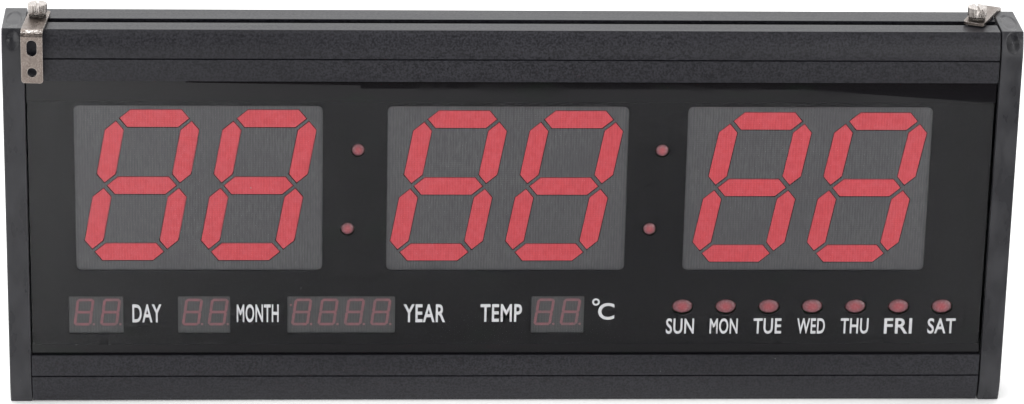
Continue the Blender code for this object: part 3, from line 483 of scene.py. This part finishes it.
def black_plastic():
    """Black moulded plastic of the buttons, power inlet, sounder and cell holder."""
    look = Look("black_plastic", (0.014, 0.014, 0.015), 0.45)
    grain = look.noise(0.35 * MM, seed=27, detail=2)
    wear = look.noise(2.5 * MM, seed=30, detail=3)
    worn = look.remap(wear, 0.45, 0.8)
    look.put("Base Color", look.mix(worn, (0.012, 0.012, 0.013), (0.035, 0.035, 0.037)))
    look.put("Roughness", look.remap(wear, 0.3, 0.7, 0.36, 0.52))
    look.bump(grain, 0.01 * MM)
    return look.material


def board_laminate():
    """Green solder mask over a grid of copper tracks."""
    look = Look("board_laminate", (0.015, 0.12, 0.045), 0.35)
    pitch = 2.54 * MM
    tracks = look.maths("MAXIMUM", look.stripes(pitch, "X"), look.stripes(pitch, "Z"))
    copper = look.remap(tracks, 0.8, 0.95)
    look.put("Base Color", look.mix(copper, (0.012, 0.10, 0.04), (0.03, 0.20, 0.07)))
    look.put("Roughness", look.remap(look.noise(3 * MM, seed=6), 0.3, 0.7, 0.28, 0.42))
    look.bump(copper, 0.03 * MM)
    return look.material


def chip_epoxy():
    """Matt black moulding epoxy."""
    look = Look("chip_epoxy", (0.016, 0.016, 0.017), 0.6)
    grain = look.noise(0.25 * MM, seed=33, detail=2)
    look.put("Base Color", look.mix(grain, (0.012, 0.012, 0.012), (0.024, 0.024, 0.025)))
    look.put("Roughness", look.remap(grain, 0.3, 0.7, 0.52, 0.68))
    look.bump(grain, 0.01 * MM)
    return look.material


def print_ink():
    """Pale grey screen-printed ink, a little thin in places."""
    look = Look("print_ink", (0.6, 0.6, 0.6), 0.6)
    thin = look.noise(1.2 * MM, seed=16, detail=3)
    sparse = look.remap(thin, 0.45, 0.8, 0.0, 0.5)
    look.put("Base Color", look.mix(sparse, (0.53, 0.53, 0.545), (0.37, 0.37, 0.385)))
    look.put("Roughness", look.remap(thin, 0.3, 0.7, 0.5, 0.65))
    look.bump(thin, 0.01 * MM)
    return look.material


def digit_outline():
    """Dull red edge of a small unlit segment."""
    look = Look("digit_outline", (0.36, 0.08, 0.09), 0.5)
    fade = look.noise(1.6 * MM, seed=22, detail=3)
    faded = look.remap(fade, 0.35, 0.7)
    look.put("Base Color", look.mix(faded, (0.185, 0.066, 0.078), (0.130, 0.064, 0.072)))
    look.put("Roughness", look.remap(fade, 0.3, 0.7, 0.42, 0.58))
    return look.material


# Width of the floor sheet in metres, and half sizes of its painted glow under the case in the
# sheet's own scale
FLOOR = 12
FLOOR_GLOW = (0.33 / FLOOR, 0.10 / FLOOR, 1.0)


def floor_paper():
    """Off-white backdrop paper with a faint tooth, and a painted glow where the case shades it."""
    look = Look("floor_paper", (0.92, 0.92, 0.92), 0.8)
    tooth = look.noise(1.5 * MM, seed=1, detail=3)
    look.put("Base Color", look.mix(tooth, (0.90, 0.90, 0.90), (0.94, 0.94, 0.94)))
    look.put("Roughness", look.remap(tooth, 0.3, 0.7, 0.75, 0.85))
    # Painted glow: emission that lifts the case's shadow on the floor
    under = look.remap(look.reach((0, 0, 0), FLOOR_GLOW), 1.0, 0.3)
    look.put("Emission Color", look.mix(under, (0, 0, 0), (0.27, 0.27, 0.27)))
    look.put("Emission Strength", 1.0)
    return look.material


def flag_cloth():
    """Matt dark cloth of a studio flag."""
    look = Look("flag_cloth", (0.02, 0.012, 0.008), 0.9)
    weave = look.noise(2 * MM, seed=2, detail=2)
    look.put("Base Color", look.mix(weave, (0.014, 0.008, 0.006), (0.026, 0.016, 0.012)))
    look.put("Roughness", look.remap(weave, 0.3, 0.7, 0.85, 0.95))
    return look.material


def floor_shade():
    """Dark sheet over the floor before the case, seen only in reflections, that paints the floor's
    shade there; its cover varies with X and Y.

    It is thinner to the left and near the case at the right, and thicker in a patch between.
    """
    look = Look("floor_shade", (0.02, 0.02, 0.022), 0.9)
    weave = look.noise(60 * MM, seed=2, detail=2)
    look.put("Base Color", look.mix(weave, (0.018, 0.018, 0.020), (0.024, 0.024, 0.026)))
    position = look.split(look.coordinates.outputs["Object"])

    def x_ramp(*numbers):
        return look.remap(position["X"], *numbers)

    def y_ramp(*numbers):
        return look.remap(position["Y"], *numbers)

    cover = y_ramp(0.26, -0.46, 0.60, 0.51)
    left = x_ramp(-0.06, -0.31, 0.0, 0.44)
    near_right = look.maths("MULTIPLY", x_ramp(0.10, 0.26), y_ramp(-0.12, 0.18, 0.0, 0.10))
    patch_x = look.maths("MULTIPLY", x_ramp(-0.02, 0.05), x_ramp(0.25, 0.19))
    patch_y = look.maths("MULTIPLY", y_ramp(0.17, 0.06, 0.0, 0.13), y_ramp(-0.16, -0.08, 0.5, 1.0))
    cover = look.maths("SUBTRACT", look.maths("SUBTRACT", cover, left), near_right)
    cover = look.maths("ADD", cover, look.maths("MULTIPLY", patch_x, patch_y))
    look.put("Alpha", look.maths("MULTIPLY", cover, y_ramp(0.222, 0.20)))
    return look.material


SLOT_LOOKS = {
    "coated_aluminium": coated_aluminium,
    "cap_plastic": cap_plastic,
    "zinc_steel": plated_steel,
    "lens_acrylic": lens_acrylic,
    "mask_film": mask_film,
    "rear_panel": rear_panel_sheet,
    "display_face": display_face,
    "segment_resin": segment_resin,
    "lamp_resin": lamp_resin,
    "board_laminate": board_laminate,
    "chip_epoxy": chip_epoxy,
    "black_plastic": black_plastic,
    "nickel_plate": nickel_plate,
}
# Nodes that share a slot with others but look different
NODE_LOOKS = (
    (small_display_face, ("day_display", "month_display", "year_display", "temperature_display")),
    (bright_nickel, ("left_thumbscrew", "right_thumbscrew")),
    # Washers: blackened steel whose dark colour also paints the shade under the thumbscrew heads
    (black_steel_painted_shade, ("left_washer", "right_washer")),
)


# ---------------------------------------------------------------- CAD nodes

# Rounding of the nodes whose edges catch the light
EDGES = {
    "top_rail": 0.18 * MM,
    "bottom_rail": 0.18 * MM,
    "left_end_cap": 0.35 * MM,
    "right_end_cap": 0.35 * MM,
    "left_hanger_bracket": 0.3 * MM,
    "right_hanger_bracket": 0.3 * MM,
    "left_thumbscrew": 0.12 * MM,
    "right_thumbscrew": 0.12 * MM,
    "left_washer": 0.15 * MM,
    "right_washer": 0.15 * MM,
    "dc_power_jack": 0.3 * MM,
    "rear_panel": 0.1 * MM,
}
EDGE_ANGLE = math.radians(32)
# Corners nearer than this are one corner
WELD = 0.01 * MM


def dress_nodes():
    """Gives every CAD node its material, and rounds the edges that catch the light."""
    by_slot = {slot: build() for slot, build in SLOT_LOOKS.items()}
    by_slot["cell_steel"] = by_slot["zinc_steel"]
    by_node = {}
    for build, names in NODE_LOOKS:
        by_node.update(dict.fromkeys(names, build()))
    for part in frame["record"]["subparts"]:
        name = part["node"]
        piece = NODES[name]
        for slot in piece.material_slots:
            slot.material = by_node.get(name, by_slot[part["material_slot"]])
        weld = piece.modifiers.new("weld", "WELD")
        weld.merge_threshold = WELD
        if name in EDGES:
            bevel = piece.modifiers.new("edges", "BEVEL")
            bevel.width = EDGES[name]
            bevel.segments = 2
            bevel.limit_method = "ANGLE"
            bevel.angle_limit = EDGE_ANGLE
            bevel.use_clamp_overlap = True
            bevel.harden_normals = True


# ---------------------------------------------------------------- added pieces

# The captions' ink lies in the gap between the lens and the mask
INK_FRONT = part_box("front_lens")[1][1] + 0.08 * MM
INK_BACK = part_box("window_mask")[0][1] - 0.02 * MM
INK_RANGE = (INK_FRONT, INK_BACK)


def publish(piece, material):
    """Gives a new fixed piece its material and fixes it to the root body."""
    piece.data.materials.clear()
    piece.data.materials.append(material)
    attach(piece, "root")


def circle(centre, radius, y, steps):
    """Points round a centre given as X and Z, at a depth Y."""
    turns = (2 * math.pi * i / steps for i in range(steps))
    return [(centre[0] + radius * math.cos(t), y, centre[1] + radius * math.sin(t)) for t in turns]


def mesh_piece(name, shape):
    """An object in the scene from a bmesh, which is freed."""
    mesh = bpy.data.meshes.new(name)
    shape.to_mesh(mesh)
    shape.free()
    piece = bpy.data.objects.new(name, mesh)
    bpy.context.scene.collection.objects.link(piece)
    return piece


def stand_up(mesh, x_range, z_range, y_range):
    """Fits a mesh that lies in XY to a place on an upright front, its thickness along Y."""
    low = Vector(min(v.co[i] for v in mesh.vertices) for i in range(3))
    high = Vector(max(v.co[i] for v in mesh.vertices) for i in range(3))
    for vertex in mesh.vertices:
        x, z, y = ((vertex.co[i] - low[i]) / (high[i] - low[i]) for i in range(3))
        vertex.co = (
            x_range[0] + x * (x_range[1] - x_range[0]),
            y_range[1] + y * (y_range[0] - y_range[1]),
            z_range[0] + z * (z_range[1] - z_range[0]),
        )


# Emboldening and letter spacing of the captions, for letters of size 1
LETTER_WEIGHT = 0.015
LETTER_SPACING = 1.06


def label(name, text, x_range, z_range, ink):
    """Bold condensed lettering printed between the mask and the lens."""
    curve = bpy.data.curves.new(name, "FONT")
    curve.body = text
    curve.size = 1.0
    curve.space_character = LETTER_SPACING
    curve.offset = LETTER_WEIGHT
    curve.extrude = 0.02
    curve.resolution_u = 5
    text_object = bpy.data.objects.new(name, curve)
    bpy.context.scene.collection.objects.link(text_object)
    bpy.context.view_layer.update()
    evaluated = text_object.evaluated_get(bpy.context.evaluated_depsgraph_get())
    mesh = bpy.data.meshes.new_from_object(evaluated)
    bpy.data.objects.remove(text_object)
    stand_up(mesh, x_range, z_range, INK_RANGE)
    piece = bpy.data.objects.new(f"{name}_label", mesh)
    bpy.context.scene.collection.objects.link(piece)
    publish(piece, ink)


def degree_ring(x, top, ink):
    """The small ring before the C of the temperature's unit."""
    outer = 1.85 * MM
    inner = 1.0 * MM
    steps = 32
    centre = (x + outer, top - outer)
    profile = ((outer, INK_BACK), (outer, INK_FRONT), (inner, INK_FRONT), (inner, INK_BACK))
    shape = bmesh.new()
    rings = [[shape.verts.new(point) for point in circle(centre, radius, y, steps)]
             for radius, y in profile]
    for first, second in zip(rings, rings[1:] + rings[:1]):
        for i in range(steps):
            j = (i + 1) % steps
            shape.faces.new((first[i], first[j], second[j], second[i]))
    bmesh.ops.recalc_face_normals(shape, faces=shape.faces)
    publish(mesh_piece("degree_ring_label", shape), ink)


# Captions of the row, in millimetres: name, text, display that each is placed from, side of it
# (0 left and 1 right), start and end along X from there, then the foot's and head's shift in Z
WORDS = (
    ("day", "DAY", "day_display", 1, 3.6, 17.5, 0.0, 0.0),
    ("month", "MONTH", "month_display", 1, 2.5, 22.6, 0.0, 0.0),
    ("year", "YEAR", "year_display", 1, 3.4, 23.5, 0.0, 0.0),
    ("temp", "TEMP", "temperature_display", 0, -23.8, -3.8, 0.2, 0.0),
)
UNIT = ("celsius", "C", "temperature_display", 1, 6.1, 14.0, 1.2, 0.55)
# Foot and head of the captions from the middle of the displays' row
CAPTION_FOOT = -3.8 * MM
CAPTION_HEAD = 5.55 * MM
# Left edge of the degree ring from the temperature display, and its top from the row's middle
DEGREE_INSET = 3.1 * MM
DEGREE_TOP = 8.5 * MM

WEEKDAYS = ("sunday", "monday", "tuesday", "wednesday", "thursday", "friday", "saturday")
# Weekday captions: half width, foot and head from the lamp, shift of the middle one, and the
# shift that each adds to the one before it
WEEKDAY_HALF = 6.8 * MM
WEEKDAY_FOOT = -14.1 * MM
WEEKDAY_HEAD = -6.05 * MM
WEEKDAY_SHIFT = -0.2 * MM
WEEKDAY_DRIFT = 0.2 * MM


def caption(row, ink, name, text, display, side, start, end, foot, head):
    """A caption of the row at this height, from its line in the list."""
    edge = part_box(display)[side][0]
    label(name, text, (edge + start * MM, edge + end * MM),
          (row + CAPTION_FOOT + foot * MM, row + CAPTION_HEAD + head * MM), ink)


def print_labels():
    """All captions, placed from the displays and lamps that they name."""
    ink = print_ink()
    row = middle("day_display").z
    for word in WORDS:
        caption(row, ink, *word)
    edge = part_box("temperature_display")[1][0]
    degree_ring(edge + DEGREE_INSET, row + DEGREE_TOP, ink)
    caption(row, ink, *UNIT)
    for index, name in enumerate(WEEKDAYS):
        lamp = middle(f"{name}_lamp")
        centre = lamp.x + WEEKDAY_SHIFT + WEEKDAY_DRIFT * (index - 3)
        label(name, name[:3].upper(), (centre - WEEKDAY_HALF, centre + WEEKDAY_HALF),
              (lamp.z + WEEKDAY_FOOT, lamp.z + WEEKDAY_HEAD), ink)


def plate(shape, front, back):
    """Adds a flat plate between two outlines of the same number of points."""
    front = [shape.verts.new(point) for point in front]
    back = [shape.verts.new(point) for point in back]
    shape.faces.new(front)
    shape.faces.new(reversed(back))
    for i in range(len(front)):
        j = (i + 1) % len(front)
        shape.faces.new((front[j], front[i], back[i], back[j]))


def stroke(shape, start, end, half, y_range):
    """A flat bar between two points in XZ, with pointed ends like a segment's outline."""
    along = (end - start).normalized()
    across = Vector((-along.y, along.x)) * half
    tip = along * half
    outline = [start - tip, start - across, end - across, end + tip, end + across, start + across]
    plate(shape, *([(p.x, y, p.y) for p in outline] for y in y_range))


def dot(shape, centre, radius, y_range):
    """A round decimal point."""
    steps = 12
    plate(shape, *(circle(centre, radius, y, steps) for y in y_range))


# A small digit: half its width, half its height, its lean, and its height over the middle
DIGIT_HALF_WIDTH = 3.6 * MM
DIGIT_ROW_STEP = 6.3 * MM
DIGIT_SLOPE = 0.14
DIGIT_LIFT = 1.2 * MM
# Front and back of its bars from the display's face
DIGIT_SKIN = (-0.06 * MM, 0.02 * MM)
# Its bars: half their thickness, and how far they stay clear of the corners
BAR_HALF = 0.64 * MM
BAR_GAP = 0.5 * MM
# Its decimal point from its middle along X, and that point's radius
POINT_INSET = 4.6 * MM
POINT_RADIUS = 0.6 * MM
# The point before the first digit of the year: its place from that digit, and its radius
LEADING_POINT = (-5.2 * MM, 4.9 * MM)
LEADING_RADIUS = 0.5 * MM

# Small displays: how many digits, shift of their middle, and pitch
SMALL_DISPLAYS = {
    "day": (2, 0.5 * MM, 12.7 * MM),
    "month": (2, 0.6 * MM, 12.3 * MM),
    "year": (4, 0.0, 12.7 * MM),
    "temperature": (2, -0.1 * MM, 12.7 * MM),
}


def small_digits(name, count, shift, pitch, outline):
    """The faint bars of a small display's unlit digits, with their decimal points."""
    centre = middle(f"{name}_display")
    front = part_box(f"{name}_display")[0][1]
    y_range = [front + offset for offset in DIGIT_SKIN]
    middle_x = centre.x + shift
    z = centre.z + DIGIT_LIFT
    shape = bmesh.new()
    for index in range(count):
        x = middle_x + pitch * (index - (count - 1) / 2)
        corner = {
            (side, row): Vector((x + side * DIGIT_HALF_WIDTH + DIGIT_SLOPE * row * DIGIT_ROW_STEP,
                                 z + row * DIGIT_ROW_STEP))
            for side in (-1, 1) for row in (-1, 0, 1)
        }
        bars = [((-1, row), (1, row)) for row in (-1, 0, 1)]
        bars += [((side, row), (side, row + 1)) for side in (-1, 1) for row in (-1, 0)]
        for low, high in bars:
            gap = (corner[high] - corner[low]).normalized() * BAR_GAP
            stroke(shape, corner[low] + gap, corner[high] - gap, BAR_HALF, y_range)
        dot(shape, Vector((x + POINT_INSET, z - DIGIT_ROW_STEP)), POINT_RADIUS, y_range)
    if name == "year":
        first_x = middle_x - pitch * (count - 1) / 2
        place = Vector((first_x + LEADING_POINT[0], centre.z + LEADING_POINT[1]))
        dot(shape, place, LEADING_RADIUS, y_range)
    bmesh.ops.recalc_face_normals(shape, faces=shape.faces)
    publish(mesh_piece(f"{name}_digits", shape), outline)


def draw_small_digits():
    """The unlit digits of all four small displays."""
    outline = digit_outline()
    for name, sizes in SMALL_DISPLAYS.items():
        small_digits(name, *sizes, outline)


def jack_pin():
    """The centre pin of the power inlet, a turned pin with a round tip."""
    low, high = (Vector(corner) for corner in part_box("dc_power_jack"))
    centre = ((low.x + high.x) / 2, (low.z + high.z) / 2)
    radius = 1.0 * MM
    tip = high.y - 1.0 * MM
    root = low.y + 0.2 * MM
    profile = [(0.0, tip), (0.5 * radius, tip - 0.15 * MM), (0.87 * radius, tip - 0.5 * MM),
               (radius, tip - 1.0 * MM), (radius, root), (0.0, root)]
    steps = 24
    shape = bmesh.new()
    rings = [[shape.verts.new(point) for point in circle(centre, reach, y, steps if reach else 1)]
             for reach, y in profile]
    for first, second in zip(rings, rings[1:]):
        for i in range(steps):
            j = (i + 1) % steps
            corners = (first[i % len(first)], first[j % len(first)],
                       second[j % len(second)], second[i % len(second)])
            shape.faces.new(list(dict.fromkeys(corners)))
    bmesh.ops.recalc_face_normals(shape, faces=shape.faces)
    pin = mesh_piece("dc_jack_pin", shape)
    pin.data.shade_smooth()
    publish(pin, NODES["left_thumbscrew"].material_slots[0].material)


# ---------------------------------------------------------------- studio

# Point of view fitted to the case's edges
CAMERA_PLACE = (-0.10803, -1.79416, 0.79461)
CAMERA_TURN = (68.818, -1.218, -2.994)
CAMERA_LENS = 141.0


def camera():
    """The photograph's point of view."""
    data = bpy.data.cameras.new("camera")
    data.lens = CAMERA_LENS
    data.sensor_width = 36.0
    data.clip_start = 0.05
    view = bpy.data.objects.new("camera", data)
    view.location = CAMERA_PLACE
    view.rotation_euler = [math.radians(angle) for angle in CAMERA_TURN]
    bpy.context.scene.collection.objects.link(view)
    bpy.context.scene.camera = view


def panel_light(name, place, target, size, power):
    """A soft box that faces a target."""
    data = bpy.data.lights.new(name, "AREA")
    data.shape = "RECTANGLE"
    data.size, data.size_y = size
    data.energy = power
    light = bpy.data.objects.new(name, data)
    light.location = place
    light.rotation_euler = (Vector(target) - Vector(place)).to_track_quat("-Z", "Y").to_euler()
    bpy.context.scene.collection.objects.link(light)


# Strength of the surroundings, against how far a direction points up and back
SKY_RAMP = {"From Min": -0.45, "From Max": 0.5, "To Min": 0.32, "To Max": 1.4}


def sky():
    """Pale surroundings, whiter behind and above than in front."""
    world = bpy.data.worlds.new("studio")
    world.use_nodes = True
    nodes, links = world.node_tree.nodes, world.node_tree.links
    place = nodes.new("ShaderNodeTexCoord")
    tilt = nodes.new("ShaderNodeVectorMath")
    tilt.operation = "DOT_PRODUCT"
    tilt.inputs[1].default_value = (0.0, 0.7, 0.7)
    strength = nodes.new("ShaderNodeMapRange")
    for name, number in SKY_RAMP.items():
        strength.inputs[name].default_value = number
    background = nodes["Background"]
    links.new(place.outputs["Generated"], tilt.inputs[0])
    links.new(tilt.outputs["Value"], strength.inputs["Value"])
    links.new(strength.outputs["Result"], background.inputs["Strength"])
    background.inputs["Color"].default_value = (1.0, 1.0, 1.0, 1.0)
    bpy.context.scene.world = world


def card(name, centre, size, material):
    """A flat level sheet that belongs to the studio."""
    shape = bmesh.new()
    bmesh.ops.create_grid(shape, x_segments=1, y_segments=1, size=0.5)
    piece = mesh_piece(name, shape)
    piece.location = centre
    piece.scale = (size[0], size[1], 1.0)
    piece.data.materials.append(material)
    return piece


def mirrored_only(piece):
    """Keeps a studio card out of everything but the reflections."""
    piece.visible_camera = False
    piece.visible_diffuse = False
    piece.visible_shadow = False


FLAG_DEPTH = 0.4


def flag(name, corner, width, turn, cloth):
    """A dark card in front of the case, by its left corner on that side, and turned in degrees."""
    angle = math.radians(turn)
    half = Vector((width / 2, -FLAG_DEPTH / 2, 0.0))
    half.rotate(Matrix.Rotation(angle, 3, "Z"))
    piece = card(name, Vector(corner) + half, (width, FLAG_DEPTH), cloth)
    piece.rotation_euler.z = angle
    mirrored_only(piece)


# The floor sheet lies just under the case, and the sheet of painted floor shade just over the floor
# sheet
FLOOR_PLACE = (0, 0, -0.2 * MM)
SHADE_SHEET_PLACE = (0, -0.27, 1 * MM)
SHADE_SHEET_SIZE = (1.0, 1.0)
# Flags, whose edges mirror in the lens: left corner on the case's side, width and turn
FLAGS = {
    "left_flag": ((-0.167, -0.4673, 3 * MM), 0.105, 2.5),
    "middle_flag": ((-0.064, -0.4572, 3 * MM), 0.5, 0.0),
    "right_flag": ((0.08, -0.4842, 2 * MM), 0.5, 11.6),
}
# Soft boxes: place, target, size and power in watts
PANELS = {
    "key": ((-0.8, -1.3, 1.7), (0, 0, 0.1), (1.4, 1.0), 12),
    "top": ((-0.3, 0.8, 1.7), (0, 0, 0.1), (1.8, 1.2), 14),
    "right": ((0.85, -1.0, 0.24), (0.1, 0, 0.12), (0.9, 0.4), 4.5),
    "left": ((-0.95, -1.0, 0.24), (-0.1, 0, 0.12), (0.9, 0.4), 2.0),
}


def studio():
    """Surroundings, camera, floor, reflection cards and soft boxes."""
    bpy.context.scene.view_settings.view_transform = "Standard"
    sky()
    camera()
    card("floor", FLOOR_PLACE, (FLOOR, FLOOR), floor_paper())
    cloth = flag_cloth()
    for name, sizes in FLAGS.items():
        flag(name, *sizes, cloth)
    # Sheet seen only in reflections that paints shade on the floor before the case
    mirrored_only(card("floor_shade_sheet", SHADE_SHEET_PLACE, SHADE_SHEET_SIZE, floor_shade()))
    for name, sizes in PANELS.items():
        panel_light(name, *sizes)


dress_nodes()
print_labels()
draw_small_digits()
jack_pin()
studio()
